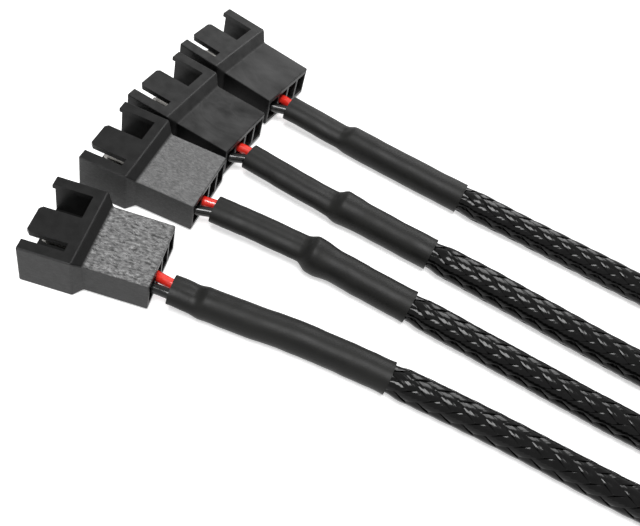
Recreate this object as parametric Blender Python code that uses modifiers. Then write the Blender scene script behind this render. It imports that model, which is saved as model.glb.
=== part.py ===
# Fan splitter cable: four pin-side fan connectors on braided legs that meet in one power plug.
# Units are metres and +Z is up. The cable lies on the plane Z = 0, connectors towards -X and
# the power plug towards +X. The origin is under the middle of the four connectors and their
# heat-shrink tubes.

import math

import bmesh
import bpy
from mathutils import Matrix, Vector

# Free space between two pieces that touch
FIT_GAP = 0.0003

# Fan connector: the rear block, whose cavities hold the crimped contacts
PIN_PITCH = 0.00254
CAVITY_COUNT = 4
CAVITY_WIDTH = 0.0021
REAR_SIDE_WALL = 0.00044
REAR_ROOF = 0.0008
REAR_LENGTH = 0.0086
REAR_HEIGHT = 0.00515
REAR_LIFT = 0.00035
PARTITION_LENGTH = 0.0026
CAVITY_HEIGHT = REAR_HEIGHT - 2 * REAR_ROOF
CAVITY_MIDDLE = REAR_LIFT + REAR_HEIGHT / 2
REAR_WIDTH = (CAVITY_COUNT - 1) * PIN_PITCH + CAVITY_WIDTH + 2 * REAR_SIDE_WALL

# Fan connector: the socket, which takes a fan plug as wide as the rear block. Its hollow ends
# where the shoulder to the rear block starts, and the partition lies between it and the cavities
MATING_CLEARANCE = 0.0003
SOCKET_LENGTH = 0.0082
SOCKET_WALL = 0.0008
SOCKET_INSIDE_HEIGHT = 0.0052
SHOULDER_LENGTH = 0.0011
HOUSING_EDGE = 0.0002
SOCKET_INSIDE_WIDTH = REAR_WIDTH + 2 * MATING_CLEARANCE
SOCKET_WIDTH = SOCKET_INSIDE_WIDTH + 2 * SOCKET_WALL
SOCKET_HEIGHT = SOCKET_INSIDE_HEIGHT + 2 * SOCKET_WALL
CAVITY_FRONT = PARTITION_LENGTH - SHOULDER_LENGTH

# Fan connector: the keying tongue, centred on the second pin between two slots
TONGUE_RELIEF = 0.0007
TONGUE_CORNER = 0.0005
SLOT_LENGTH = 0.0056
EAR_WIDTH = 0.0016
TONGUE_WIDTH = 2 * PIN_PITCH - TONGUE_RELIEF

# Crimped contact: a square pin, a box that latches in the cavity and a barrel round the wire
WIRE_DIAMETER = 0.0013
PIN_THICKNESS = 0.00064
PIN_RECESS = 0.0011
PIN_POINT = 0.0006
LATCH_BOX_LENGTH = 0.0030
LATCH_BOX_HEIGHT = 0.0019
LATCH_BOX_WIDTH = CAVITY_WIDTH - 2 * FIT_GAP
BARREL_RECESS = 0.0016
BARREL_END = REAR_LENGTH - BARREL_RECESS
BARREL_THICKNESS = WIRE_DIAMETER

# Leg: two wires, the heat-shrink tube over them and the braided sleeve that it grips
SLEEVE_DIAMETER = 0.0043
SLEEVE_SQUEEZE = 0.0002
SETTLING_LENGTH = 0.0150
TUBE_LENGTH = 0.0305
TUBE_WALL = 0.0003
TUBE_STEP = 0.0018
TUBE_DIAMETER = SLEEVE_DIAMETER - SLEEVE_SQUEEZE + 2 * TUBE_WALL
WIRE_SPACING = WIRE_DIAMETER + FIT_GAP
WIRE_PLAY = (CAVITY_WIDTH - WIRE_DIAMETER - FIT_GAP) / 2
NARROW_HEIGHT = WIRE_DIAMETER + 2 * (FIT_GAP + TUBE_WALL)
NARROW_WIDTH = NARROW_HEIGHT + WIRE_SPACING

# Joint of the legs: a flat boot over the sleeves with a neck over the two input wires
LEG_COUNT = 4
JOINT_PLACE = Vector((0.1743, -0.0020))
JOINT_WALL = 0.0004
JOINT_GRIP_LENGTH = 0.0110
JOINT_TAPER_LENGTH = 0.0080
JOINT_NECK_LENGTH = 0.0050
APPROACH_LENGTH = 0.0155
INPUT_WIRE_DIAMETER = 0.0020
LEG_SPACING = SLEEVE_DIAMETER + FIT_GAP
INPUT_WIRE_SPACING = INPUT_WIRE_DIAMETER + FIT_GAP
JOINT_HEIGHT = SLEEVE_DIAMETER + 2 * JOINT_WALL
JOINT_WIDTH = JOINT_HEIGHT + (LEG_COUNT - 1) * LEG_SPACING
NECK_HEIGHT = INPUT_WIRE_DIAMETER + 2 * JOINT_WALL
NECK_WIDTH = NECK_HEIGHT + INPUT_WIRE_SPACING
NECK_END = JOINT_PLACE.x + JOINT_GRIP_LENGTH + JOINT_TAPER_LENGTH + JOINT_NECK_LENGTH

# Power plug: round pins in a keyed socket that takes a plug with the rear block's own section
PLUG_CAVITY_COUNT = 4
PLUG_PITCH = 0.00508
PLUG_CRIMP_WALL = 0.0004
PLUG_BARREL_LENGTH = 0.0065
PLUG_PIN_DIAMETER = 0.0021
PLUG_PIN_RECESS = 0.0020
PLUG_REAR_LENGTH = 0.0100
PLUG_REAR_SIDE_WALL = 0.0010
PLUG_REAR_HEIGHT = 0.0080
PLUG_SHOULDER_LENGTH = 0.0010
PLUG_SOCKET_DEPTH = 0.0125
PLUG_SOCKET_WALL = 0.0010
PLUG_CLEARANCE = 0.0001
PLUG_CORNER_CUT = 0.0020
PLUG_EDGE = 0.0003
INPUT_WIRE_LENGTH = 0.0150
INPUT_WIRE_STRAIGHT = 0.0030
PLUG_BARREL_DIAMETER = INPUT_WIRE_DIAMETER + 2 * PLUG_CRIMP_WALL
PLUG_HOLE_DIAMETER = PLUG_BARREL_DIAMETER + 2 * FIT_GAP
PLUG_REAR_WIDTH = ((PLUG_CAVITY_COUNT - 1) * PLUG_PITCH + PLUG_HOLE_DIAMETER
                   + 2 * PLUG_REAR_SIDE_WALL)
PLUG_INSIDE_WIDTH = PLUG_REAR_WIDTH + 2 * PLUG_CLEARANCE
PLUG_INSIDE_HEIGHT = PLUG_REAR_HEIGHT + 2 * PLUG_CLEARANCE
PLUG_SOCKET_WIDTH = PLUG_INSIDE_WIDTH + 2 * PLUG_SOCKET_WALL
PLUG_SOCKET_HEIGHT = PLUG_INSIDE_HEIGHT + 2 * PLUG_SOCKET_WALL
PLUG_MIDDLE = PLUG_SOCKET_HEIGHT / 2
PLUG_REAR = NECK_END + INPUT_WIRE_LENGTH
PLUG_SOCKET_BACK = PLUG_REAR + PLUG_REAR_LENGTH + PLUG_SHOULDER_LENGTH
PLUG_FRONT = PLUG_SOCKET_BACK + PLUG_SOCKET_DEPTH
PLUG_BARREL_START = PLUG_SOCKET_BACK - PLUG_BARREL_LENGTH

# The connectors lie side by side on the table, the first one farthest towards +Y. x and turn
# place each one, and gap is the free space between its socket and the one before it. Its
# heat-shrink tube starts a little behind the rear block, exit along and aside across it.
# sleeve_inset is how far inside the tube the sleeve starts, and bump is the height of the fold
# that the tube makes over the sleeve's cut end. route is the leg's way on the table, from the
# first stretch of the tube to the point where the legs come together before the joint.
FIRST_CONNECTOR_Y = 0.0214
LEGS = (
    {"x": -0.0164, "gap": 0.0, "turn": -8.9, "exit": 0.0018, "aside": -0.0016,
     "sleeve_inset": 0.0111, "bump": 0.0,
     "route": ((-0.0013, 0.0181), (0.0043, 0.0180), (0.0108, 0.0176), (0.0240, 0.0170),
               (0.0392, 0.0166), (0.0526, 0.0162), (0.0718, 0.0155), (0.0928, 0.0134),
               (0.1148, 0.0100), (0.1378, 0.0068))},
    {"x": -0.0172, "gap": 0.0010, "turn": -5.3, "exit": 0.0020, "aside": -0.0013,
     "sleeve_inset": 0.0160, "bump": 0.0003,
     "route": ((0.0011, 0.0047), (0.0089, 0.0043), (0.0170, 0.0040), (0.0242, 0.0038),
               (0.0349, 0.0033), (0.0554, 0.0020), (0.0758, 0.0016), (0.0958, 0.0018),
               (0.1158, 0.0015), (0.1378, 0.0008))},
    {"x": -0.0169, "gap": 0.0001, "turn": 3.4, "exit": 0.0020, "aside": -0.0023,
     "sleeve_inset": 0.0153, "bump": 0.00035,
     "route": ((0.0012, -0.0064), (0.0089, -0.0061), (0.0165, -0.0063), (0.0242, -0.0065),
               (0.0380, -0.0071), (0.0573, -0.0080), (0.0768, -0.0081), (0.0968, -0.0070),
               (0.1168, -0.0055), (0.1378, -0.0047))},
    {"x": -0.0157, "gap": 0.0030, "turn": 11.7, "exit": 0.0023, "aside": -0.0029,
     "sleeve_inset": 0.0047, "bump": 0.0,
     "route": ((0.0001, -0.0209), (0.0063, -0.0201), (0.0132, -0.0191), (0.0255, -0.0183),
               (0.0412, -0.0179), (0.0593, -0.0181), (0.0778, -0.0174), (0.0968, -0.0150),
               (0.1168, -0.0119), (0.1388, -0.0097))},
)

# Roundness of the small parts
TUBE_SIDES = 14
TUBE_STATION_SPACING = 0.0040
JOINT_SIDES = 16
JOINT_STATION_SPACING = 0.0016
TURNED_SIDES = 20
CURVE_STEPS = 12
SLEEVE_POINT_SPACING = 0.0105
WIRE_POINT_SPACING = 0.0015


def clear_scene():
    for existing in list(bpy.data.objects):
        bpy.data.objects.remove(existing, do_unlink=True)


def new_collection(name):
    collection = bpy.data.collections.new(name)
    bpy.context.scene.collection.children.link(collection)
    return collection


def new_material(name, colour, roughness, metallic=0.0):
    material = bpy.data.materials.new(name)
    material.use_nodes = True
    shader = material.node_tree.nodes["Principled BSDF"]
    shader.inputs["Base Color"].default_value = (*colour, 1.0)
    shader.inputs["Roughness"].default_value = roughness
    shader.inputs["Metallic"].default_value = metallic
    return material


def add_object(name, data, collection, material=None):
    piece = bpy.data.objects.new(name, data)
    collection.objects.link(piece)
    if material is not None and not data.materials:
        data.materials.append(material)
    return piece


def finished_mesh(piece):
    """Take the object's mesh with its modifiers in it, and remove the object."""
    bpy.context.view_layer.update()
    evaluated = piece.evaluated_get(bpy.context.evaluated_depsgraph_get())
    mesh = bpy.data.meshes.new_from_object(evaluated)
    mesh.transform(piece.matrix_world)
    bpy.data.objects.remove(piece, do_unlink=True)
    return mesh


def fit_section(vertices, section):
    """Stretch the vertices of one end to a section: (x, width, lowest z, highest z)."""
    x, width, low, high = section
    old_half = max(abs(vertex.co.y) for vertex in vertices)
    old_low = min(vertex.co.z for vertex in vertices)
    old_high = max(vertex.co.z for vertex in vertices)
    for vertex in vertices:
        share = (vertex.co.z - old_low) / (old_high - old_low)
        vertex.co = Vector((x, vertex.co.y * width / (2 * old_half), low + share * (high - low)))


def stepped_block(name, sections, collection, corner_cut=0.0):
    """A box along X that is extruded from section to section.

    With a corner_cut, its two upper long edges are chamfered by that much.
    """
    mesh = bmesh.new()
    bmesh.ops.create_cube(mesh, size=1.0)
    back = [vertex for vertex in mesh.verts if vertex.co.x < 0]
    front = [vertex for vertex in mesh.verts if vertex.co.x > 0]
    fit_section(back, sections[0])
    fit_section(front, sections[1])
    if corner_cut:
        top = max(vertex.co.z for vertex in mesh.verts)
        upper = [edge for edge in mesh.edges
                 if all(abs(vertex.co.z - top) < 1e-7 for vertex in edge.verts)
                 and abs(edge.verts[0].co.x - edge.verts[1].co.x) > 1e-6]
        bmesh.ops.bevel(mesh, geom=upper, offset=corner_cut, segments=1, affect="EDGES")
    for section in sections[2:]:
        mesh.faces.ensure_lookup_table()
        end = max(mesh.faces, key=lambda face: face.calc_center_median().x)
        grown = bmesh.ops.extrude_face_region(mesh, geom=[end])
        if end.is_valid:
            bmesh.ops.delete(mesh, geom=[end], context="FACES_ONLY")
        new_end = [item for item in grown["geom"] if isinstance(item, bmesh.types.BMVert)]
        fit_section(new_end, section)
    bmesh.ops.recalc_face_normals(mesh, faces=mesh.faces)
    data = bpy.data.meshes.new(name)
    mesh.to_mesh(data)
    mesh.free()
    return add_object(name, data, collection)


def box_cutter(name, low, high, cutters):
    cutter = stepped_block(name, ((low[0], high[1] - low[1], low[2], high[2]),
                                  (high[0], high[1] - low[1], low[2], high[2])), cutters)
    cutter.location.y = (low[1] + high[1]) / 2
    return mark_as_cutter(cutter)


def mark_as_cutter(cutter):
    cutter.hide_render = True
    cutter.display_type = "WIRE"
    return cutter


def slot_cutter(name, outline, low, high, cutters):
    """A flat outline in X and Y, raised from low to high."""
    curve = bpy.data.curves.new(name, "CURVE")
    curve.dimensions = "2D"
    curve.fill_mode = "BOTH"
    curve.extrude = (high - low) / 2
    spline = curve.splines.new("POLY")
    spline.points.add(len(outline) - 1)
    for point, (x, y) in zip(spline.points, outline):
        point.co = (x, y, 0.0, 1.0)
    spline.use_cyclic_u = True
    drawn = add_object(name + "_outline", curve, cutters)
    drawn.location.z = (low + high) / 2
    mesh = finished_mesh(drawn)
    welded = bmesh.new()
    welded.from_mesh(mesh)
    bmesh.ops.remove_doubles(welded, verts=welded.verts, dist=1e-6)
    bmesh.ops.recalc_face_normals(welded, faces=welded.faces)
    welded.to_mesh(mesh)
    welded.free()
    return mark_as_cutter(add_object(name, mesh, cutters))


def round_cutter(name, diameter, start, end, cutters):
    """A cylinder along X between two points of the same Y and Z."""
    mesh = bmesh.new()
    bmesh.ops.create_cone(mesh, cap_ends=True, segments=TURNED_SIDES,
                          radius1=diameter / 2, radius2=diameter / 2, depth=end.x - start.x)
    bmesh.ops.rotate(mesh, verts=mesh.verts, matrix=Matrix.Rotation(math.pi / 2, 3, "Y"))
    data = bpy.data.meshes.new(name)
    mesh.to_mesh(data)
    mesh.free()
    cutter = add_object(name, data, cutters)
    cutter.location = (start + end) / 2
    return mark_as_cutter(cutter)


def cut(piece, cutter):
    boolean = piece.modifiers.new("cut " + cutter.name, "BOOLEAN")
    boolean.operation = "DIFFERENCE"
    boolean.solver = "EXACT"
    boolean.object = cutter


def round_edges(piece, width, segments=2):
    bevel = piece.modifiers.new("edges", "BEVEL")
    bevel.width = width
    bevel.segments = segments
    bevel.limit_method = "ANGLE"
    bevel.angle_limit = math.radians(40)


def smooth_path(points):
    """A dense Catmull-Rom curve through the points."""
    padded = [2 * points[0] - points[1], *points, 2 * points[-1] - points[-2]]
    path = []
    for before, start, end, after in zip(padded, padded[1:], padded[2:], padded[3:]):
        for step in range(CURVE_STEPS):
            t = step / CURVE_STEPS
            path.append(0.5 * (2 * start + (end - before) * t
                               + (2 * before - 5 * start + 4 * end - after) * t ** 2
                               + (3 * start - before - 3 * end + after) * t ** 3))
    path.append(points[-1].copy())
    return path


def distances_along(path):
    total = [0.0]
    for start, end in zip(path, path[1:]):
        total.append(total[-1] + (end - start).length)
    return total


def point_at(path, totals, distance):
    """The point of a path at a distance from its start."""
    for index in range(1, len(path)):
        if totals[index] >= distance or index == len(path) - 1:
            share = (distance - totals[index - 1]) / (totals[index] - totals[index - 1])
            return path[index - 1].lerp(path[index], share)


def evenly_spaced(start, end, spacing):
    count = max(1, round((end - start) / spacing))
    return [start + (end - start) * index / count for index in range(count + 1)]


def eased(share):
    share = min(max(share, 0.0), 1.0)
    return share * share * (3 - 2 * share)


def eased_between(keys, distance):
    """Value at a distance, from keys of (distance, value) with a soft change between them."""
    for (start, low), (end, high) in zip(keys, keys[1:]):
        if distance <= end:
            return low + (high - low) * eased((distance - start) / (end - start))
    return keys[-1][1]


def round_strand(name, points, diameter, bevel_resolution, collection, material):
    """A wire or cord along the points, with closed ends."""
    curve = bpy.data.curves.new(name, "CURVE")
    curve.dimensions = "3D"
    curve.bevel_depth = diameter / 2
    curve.bevel_resolution = bevel_resolution
    curve.use_fill_caps = True
    curve.render_resolution_u = 0
    spline = curve.splines.new("POLY")
    spline.points.add(len(points) - 1)
    for point, place in zip(spline.points, points):
        point.co = (*place, 1.0)
    return add_object(name, curve, collection, material)


def ring_points(centre, across, half_width, half_height, sides, straight=0.0):
    """An upright oval ring around a centre, with a straight stretch above and below, if any."""
    ring = []
    for index in range(sides):
        angle = 2 * math.pi * (index + 0.5) / sides
        sideways_reach = half_width * math.cos(angle)
        sideways_reach += math.copysign(straight / 2, sideways_reach)
        ring.append(centre + across * sideways_reach
                    + Vector((0, 0, half_height * math.sin(angle))))
    return ring


def loft(name, outside, inside, collection, material):
    """A body through a row of outside rings, with a bore through the inside rings, if any."""
    mesh = bmesh.new()
    outer = [[mesh.verts.new(point) for point in ring] for ring in outside]
    inner = [[mesh.verts.new(point) for point in ring] for ring in inside]
    sides = len(outer[0])
    for rings in (outer, inner):
        for ring, following in zip(rings, rings[1:]):
            for index in range(sides):
                after = (index + 1) % sides
                mesh.faces.new((ring[index], ring[after], following[after], following[index]))
    for end in (0, -1):
        if not inner:
            mesh.faces.new(outer[end])
            continue
        for index in range(sides):
            after = (index + 1) % sides
            mesh.faces.new((outer[end][index], outer[end][after],
                            inner[end][after], inner[end][index]))
    bmesh.ops.recalc_face_normals(mesh, faces=mesh.faces)
    data = bpy.data.meshes.new(name)
    mesh.to_mesh(data)
    mesh.free()
    data.shade_smooth()
    data.set_sharp_from_angle(angle=math.radians(45))
    return add_object(name, data, collection, material)


def cavity_centre(index):
    """Y of a connector cavity, the first one on the side of the ground wire."""
    return (index - (CAVITY_COUNT - 1) / 2) * PIN_PITCH


def make_connector_mesh(cutters):
    """The connector housing, socket towards -X, with its underside at Z = 0."""
    rear_top = REAR_LIFT + REAR_HEIGHT
    housing = stepped_block("connector_blank", (
        (-SOCKET_LENGTH, SOCKET_WIDTH, 0.0, SOCKET_HEIGHT),
        (-SHOULDER_LENGTH, SOCKET_WIDTH, 0.0, SOCKET_HEIGHT),
        (0.0, REAR_WIDTH, REAR_LIFT, rear_top),
        (REAR_LENGTH, REAR_WIDTH, REAR_LIFT, rear_top)), cutters)
    round_edges(housing, HOUSING_EDGE)

    outside = SOCKET_WALL
    half_inside = SOCKET_INSIDE_WIDTH / 2
    cut(housing, box_cutter("socket_hollow",
                            (-SOCKET_LENGTH - outside, -half_inside, SOCKET_WALL),
                            (-SHOULDER_LENGTH, half_inside, SOCKET_HEIGHT - SOCKET_WALL),
                            cutters))

    tongue_middle = cavity_centre(1)
    slot_back = SLOT_LENGTH - SOCKET_LENGTH
    front = -SOCKET_LENGTH - outside
    corner = -SOCKET_LENGTH + TONGUE_CORNER
    for side, name in ((-1, "narrow_slot"), (1, "wide_slot")):
        ear = side * (SOCKET_WIDTH / 2 - EAR_WIDTH)
        edge = tongue_middle + side * TONGUE_WIDTH / 2
        cut_back = edge - side * (TONGUE_CORNER + outside)
        outline = ((slot_back, edge), (slot_back, ear), (front, ear), (front, cut_back),
                   (corner, edge))
        cut(housing, slot_cutter(name, outline, SOCKET_HEIGHT / 2, SOCKET_HEIGHT + outside,
                                 cutters))

    hole_half = PIN_THICKNESS / 2 + FIT_GAP
    for index in range(CAVITY_COUNT):
        middle = cavity_centre(index)
        cut(housing, box_cutter(f"wire_cavity_{index + 1}",
                                (CAVITY_FRONT, middle - CAVITY_WIDTH / 2,
                                 CAVITY_MIDDLE - CAVITY_HEIGHT / 2),
                                (REAR_LENGTH + outside, middle + CAVITY_WIDTH / 2,
                                 CAVITY_MIDDLE + CAVITY_HEIGHT / 2), cutters))
        cut(housing, box_cutter(f"pin_hole_{index + 1}",
                                (-SHOULDER_LENGTH - outside, middle - hole_half,
                                 CAVITY_MIDDLE - hole_half),
                                (CAVITY_FRONT + outside, middle + hole_half,
                                 CAVITY_MIDDLE + hole_half), cutters))
    return finished_mesh(housing)


def contact_section(x, width, height):
    return (x, width, CAVITY_MIDDLE - height / 2, CAVITY_MIDDLE + height / 2)


def make_contact_mesh(cutters):
    """The crimped contact along X, point towards -X, with its axis on Y = 0."""
    point = PIN_RECESS - SOCKET_LENGTH
    box_front = CAVITY_FRONT + FIT_GAP
    box_back = box_front + LATCH_BOX_LENGTH
    blank = stepped_block("contact_blank", (
        contact_section(point, PIN_THICKNESS / 2, PIN_THICKNESS / 2),
        contact_section(point + PIN_POINT, PIN_THICKNESS, PIN_THICKNESS),
        contact_section(box_front, PIN_THICKNESS, PIN_THICKNESS),
        contact_section(box_front + FIT_GAP, LATCH_BOX_WIDTH, LATCH_BOX_HEIGHT),
        contact_section(box_back - FIT_GAP, LATCH_BOX_WIDTH, LATCH_BOX_HEIGHT),
        contact_section(box_back, BARREL_THICKNESS, BARREL_THICKNESS),
        contact_section(BARREL_END, BARREL_THICKNESS, BARREL_THICKNESS)), cutters)
    return finished_mesh(blank)


def connector_places():
    """For each leg, the transform from its connector's own frame to the table."""
    places = []
    y = FIRST_CONNECTOR_Y
    for number, leg in enumerate(LEGS, start=1):
        if number > 1:
            y -= SOCKET_WIDTH + leg["gap"]
        places.append(Matrix.Translation((leg["x"], y, 0.0))
                      @ Matrix.Rotation(math.radians(leg["turn"]), 4, "Z"))
    return places


def leg_heights(leg, length):
    """Keys of (distance along the leg, height of its middle above the table)."""
    return ((0.0, CAVITY_MIDDLE),
            (leg["sleeve_inset"], TUBE_DIAMETER / 2 + leg["bump"]),
            (TUBE_LENGTH, TUBE_DIAMETER / 2),
            (TUBE_LENGTH + SETTLING_LENGTH, SLEEVE_DIAMETER / 2),
            (length - SETTLING_LENGTH, SLEEVE_DIAMETER / 2),
            (length, JOINT_HEIGHT / 2))


def leg_path(leg, number, to_table):
    """The dense middle line of one leg, from its tube's narrow end to the joint."""
    start = (to_table @ Vector((REAR_LENGTH + leg["exit"], leg["aside"], 0.0))).to_2d()
    row = (LEG_COUNT + 1) / 2 - number
    entry = JOINT_PLACE + Vector((-FIT_GAP, row * LEG_SPACING))
    approach = entry - Vector((APPROACH_LENGTH, 0.0))
    flat = smooth_path([start, *(Vector(point) for point in leg["route"]), approach, entry])
    totals = distances_along(flat)
    heights = leg_heights(leg, totals[-1])
    return [Vector((*point, eased_between(heights, distance)))
            for point, distance in zip(flat, totals)]


def sideways(path, totals, distance):
    """The level direction across a path, towards +Y."""
    step = FIT_GAP
    ahead = point_at(path, totals, distance + step) - point_at(path, totals, distance - step)
    return Vector((-ahead.y, ahead.x, 0)).normalized()


def make_tube(name, leg, path, totals, collection, material):
    """Heat-shrink tube: a narrow oval over the wires, round and wider over the sleeve's end."""
    inset = leg["sleeve_inset"]
    stations = sorted({0.0, inset - TUBE_STEP, inset - TUBE_STEP / 2, inset, inset + TUBE_STEP,
                       inset + 2 * TUBE_STEP, TUBE_LENGTH,
                       *evenly_spaced(inset + 2 * TUBE_STEP, TUBE_LENGTH,
                                      TUBE_STATION_SPACING)[1:-1],
                       *evenly_spaced(0.0, inset - TUBE_STEP,
                                      TUBE_STATION_SPACING)[1:-1]})
    widths = ((0.0, NARROW_WIDTH / 2), (inset - TUBE_STEP, NARROW_WIDTH / 2),
              (inset, TUBE_DIAMETER / 2 + leg["bump"]),
              (inset + 2 * TUBE_STEP, TUBE_DIAMETER / 2), (TUBE_LENGTH, TUBE_DIAMETER / 2))
    heights = ((0.0, NARROW_HEIGHT / 2), (inset - TUBE_STEP, NARROW_HEIGHT / 2), *widths[2:])
    outside, inside = [], []
    for station in stations:
        centre = point_at(path, totals, station)
        across = sideways(path, totals, station)
        half_width = eased_between(widths, station)
        half_height = eased_between(heights, station)
        outside.append(ring_points(centre, across, half_width, half_height, TUBE_SIDES))
        inside.append(ring_points(centre, across, half_width - TUBE_WALL,
                                  half_height - TUBE_WALL, TUBE_SIDES))
    return loft(name, outside, inside, collection, material)


def wire_points(to_table, cavity, side, path, totals):
    """Middle line of one wire, from its contact's barrel to the sleeve's cut face."""
    middle = cavity_centre(cavity)
    mouth = to_table.inverted() @ path[0]
    lean = math.copysign(WIRE_PLAY, mouth.y + side * WIRE_SPACING / 2 - middle)
    route = [to_table @ Vector((BARREL_END + FIT_GAP, middle, CAVITY_MIDDLE)),
             to_table @ Vector((REAR_LENGTH, middle + lean, CAVITY_MIDDLE))]
    for distance in evenly_spaced(0.0, TUBE_LENGTH, WIRE_POINT_SPACING):
        across = sideways(path, totals, distance)
        route.append(point_at(path, totals, distance) + across * (side * WIRE_SPACING / 2))
    dense = smooth_path(route)
    wire_totals = distances_along(dense)
    return [point_at(dense, wire_totals, distance)
            for distance in evenly_spaced(0.0, wire_totals[-1], WIRE_POINT_SPACING)]


def make_leg(number, leg, to_table, connector, contact, collection, materials):
    housing = add_object(f"fan_connector_housing_{number}", connector, collection,
                         materials["housing"])
    housing.matrix_world = to_table

    path = leg_path(leg, number, to_table)
    totals = distances_along(path)
    for cavity, side, use, colour in ((0, -1, "ground", "black"), (1, 1, "supply", "red")):
        pin = add_object(f"{use}_contact_{number}", contact, collection, materials["contact"])
        pin.matrix_world = to_table @ Matrix.Translation((0, cavity_centre(cavity), 0))
        round_strand(f"{colour}_wire_{number}", wire_points(to_table, cavity, side, path, totals),
                     WIRE_DIAMETER, 2, collection, materials[colour + "_wire"])

    make_tube(f"heat_shrink_tube_{number}", leg, path, totals, collection, materials["tube"])
    sleeve = [point_at(path, totals, distance)
              for distance in evenly_spaced(TUBE_LENGTH + FIT_GAP, totals[-1],
                                            SLEEVE_POINT_SPACING)]
    round_strand(f"braided_sleeve_{number}", sleeve, SLEEVE_DIAMETER, 3, collection,
                 materials["sleeve"])


def make_joint(collection, material):
    """The flat boot where the legs meet, wide at -X, with its neck at +X."""
    taper_end = JOINT_GRIP_LENGTH + JOINT_TAPER_LENGTH
    length = taper_end + JOINT_NECK_LENGTH
    widths = ((0.0, JOINT_WIDTH), (JOINT_GRIP_LENGTH, JOINT_WIDTH), (taper_end, NECK_WIDTH),
              (length, NECK_WIDTH))
    heights = ((0.0, JOINT_HEIGHT), (JOINT_GRIP_LENGTH, JOINT_HEIGHT), (taper_end, NECK_HEIGHT),
               (length, NECK_HEIGHT))
    rings = []
    for distance in (0.0, *evenly_spaced(JOINT_GRIP_LENGTH, taper_end, JOINT_STATION_SPACING),
                     length):
        width = eased_between(widths, distance)
        height = eased_between(heights, distance)
        centre = Vector((JOINT_PLACE.x + distance, JOINT_PLACE.y, JOINT_HEIGHT / 2))
        rings.append(ring_points(centre, Vector((0, 1, 0)), height / 2, height / 2, JOINT_SIDES,
                                 straight=width - height))
    loft("joint_heat_shrink", rings, [], collection, material)


def plug_cavity_centre(index):
    """Y of a power plug cavity, the first one on the side of the ground wire."""
    return JOINT_PLACE.y + (index - (PLUG_CAVITY_COUNT - 1) / 2) * PLUG_PITCH


def make_plug_housing(cutters, collection, material):
    """Power plug housing with its wire side at -X and its keyed socket towards +X."""
    rear_low = PLUG_MIDDLE - PLUG_REAR_HEIGHT / 2
    rear_high = PLUG_MIDDLE + PLUG_REAR_HEIGHT / 2
    shoulder = PLUG_REAR + PLUG_REAR_LENGTH
    blank = stepped_block("plug_blank", (
        (PLUG_REAR, PLUG_REAR_WIDTH, rear_low, rear_high),
        (shoulder, PLUG_REAR_WIDTH, rear_low, rear_high),
        (PLUG_SOCKET_BACK, PLUG_SOCKET_WIDTH, 0.0, PLUG_SOCKET_HEIGHT),
        (PLUG_FRONT, PLUG_SOCKET_WIDTH, 0.0, PLUG_SOCKET_HEIGHT)), cutters, PLUG_CORNER_CUT)
    blank.location.y = JOINT_PLACE.y
    round_edges(blank, PLUG_EDGE)
    outside = PLUG_SOCKET_WALL
    inside_top = PLUG_SOCKET_HEIGHT - PLUG_SOCKET_WALL
    hollow = stepped_block("plug_socket_hollow", (
        (PLUG_SOCKET_BACK, PLUG_INSIDE_WIDTH, PLUG_SOCKET_WALL, inside_top),
        (PLUG_FRONT + outside, PLUG_INSIDE_WIDTH, PLUG_SOCKET_WALL, inside_top)),
        cutters, PLUG_CORNER_CUT)
    hollow.location.y = JOINT_PLACE.y
    cut(blank, mark_as_cutter(hollow))
    for index in range(PLUG_CAVITY_COUNT):
        middle = plug_cavity_centre(index)
        cut(blank, round_cutter(f"plug_hole_{index + 1}", PLUG_HOLE_DIAMETER,
                                Vector((PLUG_REAR - outside, middle, PLUG_MIDDLE)),
                                Vector((PLUG_SOCKET_BACK + outside, middle, PLUG_MIDDLE)),
                                cutters))
    add_object("power_plug_housing", finished_mesh(blank), collection, material)


def make_plug_pin(name, y, collection, material):
    """A turned pin with its crimp barrel, its axis along +X."""
    pin = PLUG_PIN_DIAMETER / 2
    barrel = PLUG_BARREL_DIAMETER / 2
    tip = PLUG_BARREL_LENGTH + PLUG_SOCKET_DEPTH - PLUG_PIN_RECESS
    profile = ((0.0, tip), (pin / 2, tip), (pin, tip - pin), (pin, PLUG_BARREL_LENGTH),
               (barrel, PLUG_BARREL_LENGTH), (barrel, 0.0), (0.0, 0.0))
    data = bpy.data.meshes.new(name)
    data.from_pydata([(x, 0.0, z) for x, z in profile],
                     [(index, index + 1) for index in range(len(profile) - 1)], [])
    turned = add_object(name, data, collection, material)
    screw = turned.modifiers.new("turned", "SCREW")
    screw.steps = TURNED_SIDES
    screw.render_steps = TURNED_SIDES
    screw.use_merge_vertices = True
    screw.merge_threshold = 0.00001
    turned.rotation_euler.y = math.pi / 2
    turned.location = (PLUG_BARREL_START, y, PLUG_MIDDLE)


def make_input_lead(cutters, collection, materials):
    """The two input wires, the power plug and its two wired pins."""
    make_plug_housing(cutters, collection, materials["plug"])
    start = NECK_END + FIT_GAP
    neck_z = JOINT_HEIGHT / 2
    for index, side, use, colour in ((0, -1, "ground", "black"), (1, 1, "supply", "red")):
        y = plug_cavity_centre(index)
        make_plug_pin(f"power_plug_{use}_pin", y, collection, materials["contact"])
        neck_y = JOINT_PLACE.y + side * INPUT_WIRE_SPACING / 2
        route = smooth_path([
            Vector((start, neck_y, neck_z)),
            Vector((start + INPUT_WIRE_STRAIGHT, neck_y, neck_z)),
            Vector((PLUG_REAR - INPUT_WIRE_STRAIGHT, y, PLUG_MIDDLE)),
            Vector((PLUG_REAR, y, PLUG_MIDDLE)),
            Vector((PLUG_BARREL_START - FIT_GAP, y, PLUG_MIDDLE))])
        totals = distances_along(route)
        points = [point_at(route, totals, distance)
                  for distance in evenly_spaced(0.0, totals[-1], WIRE_POINT_SPACING)]
        round_strand(f"{colour}_input_wire", points, INPUT_WIRE_DIAMETER, 2, collection,
                     materials[colour + "_wire"])


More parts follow.
